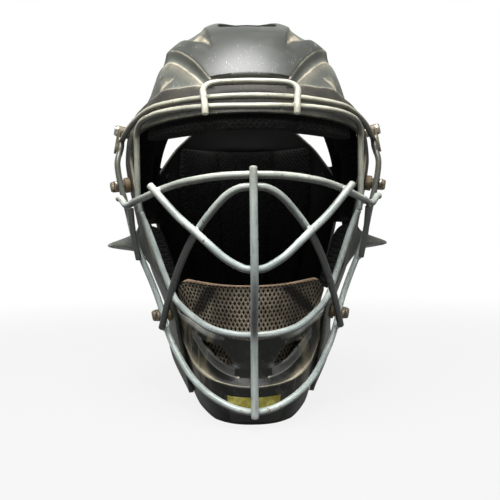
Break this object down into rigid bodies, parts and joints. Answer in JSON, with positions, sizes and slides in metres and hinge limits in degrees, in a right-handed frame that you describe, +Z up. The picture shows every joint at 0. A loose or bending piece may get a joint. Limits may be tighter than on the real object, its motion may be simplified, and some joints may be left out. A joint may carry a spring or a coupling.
{
  "type": "catcher helmet",
  "caption": "Catcher's helmet with a sculpted plastic shell, a welded wire face cage, a chin guard, a sliding head plate on elastic straps and mesh-covered pads.",
  "frame": {"origin": "on the surface the helmet stands on, straight under the centre of the head", "axes": "+Z up along the head, -Y forward through the face cage, +X to the viewer's right when the face cage is looked at"},
  "size_m": [0.2408, 0.2754, 0.306],
  "materials": {
    "shell_plastic": "worn black satin, scuffed and dusty",
    "trim_plastic": "black, matt",
    "coated_wire": "pale grey coated steel wire, satin",
    "steel": "plated, dulled",
    "rubber": "brown, matt",
    "mesh_pad": "black spacer mesh over foam",
    "chin_mesh": "tan-grey open mesh over foam",
    "elastic": "black woven elastic"
  },
  "bodies": {
    "helmet": {"front_shell": "shell_plastic", "chin_guard": "shell_plastic", "upper_brow_bar": "coated_wire", "eye_port_bar": "coated_wire", "brow_loop_bar": "coated_wire", "middle_bar": "coated_wire", "v_bar": "coated_wire", "arch_bar": "coated_wire", "centre_bar": "coated_wire", "inner_jaw_bar": "coated_wire", "outer_jaw_bar": "coated_wire", "side_bars": "coated_wire", "temple_clips": "steel", "side_clips": "steel", "jaw_clips": "steel", "side_spacers": "rubber", "jaw_grommets": "rubber", "temple_screws": "steel", "side_screws": "steel", "jaw_screws": "steel", "screw_nuts": "steel", "forehead_pad": "mesh_pad", "crown_pads": "mesh_pad", "ear_pads": "mesh_pad", "jaw_pads": "mesh_pad", "chin_pad": "chin_mesh", "side_straps": "elastic", "top_strap": "elastic", "shell_strap_anchors": "trim_plastic", "strap_studs": "trim_plastic"},
    "head_plate": {"head_plate": "shell_plastic", "head_plate_pad": "mesh_pad", "plate_strap_anchors": "trim_plastic", "plate_studs": "trim_plastic"}
  },
  "joints": [
    {"name": "head_plate_slide", "type": "slide", "parent": "helmet", "child": "head_plate", "axis": [0, 1, 0], "range_m": [0, 0.025], "stiffness_N_per_m": 500, "springref_m": -0.01, "deforming": ["side_straps", "top_strap"]}
  ]
}
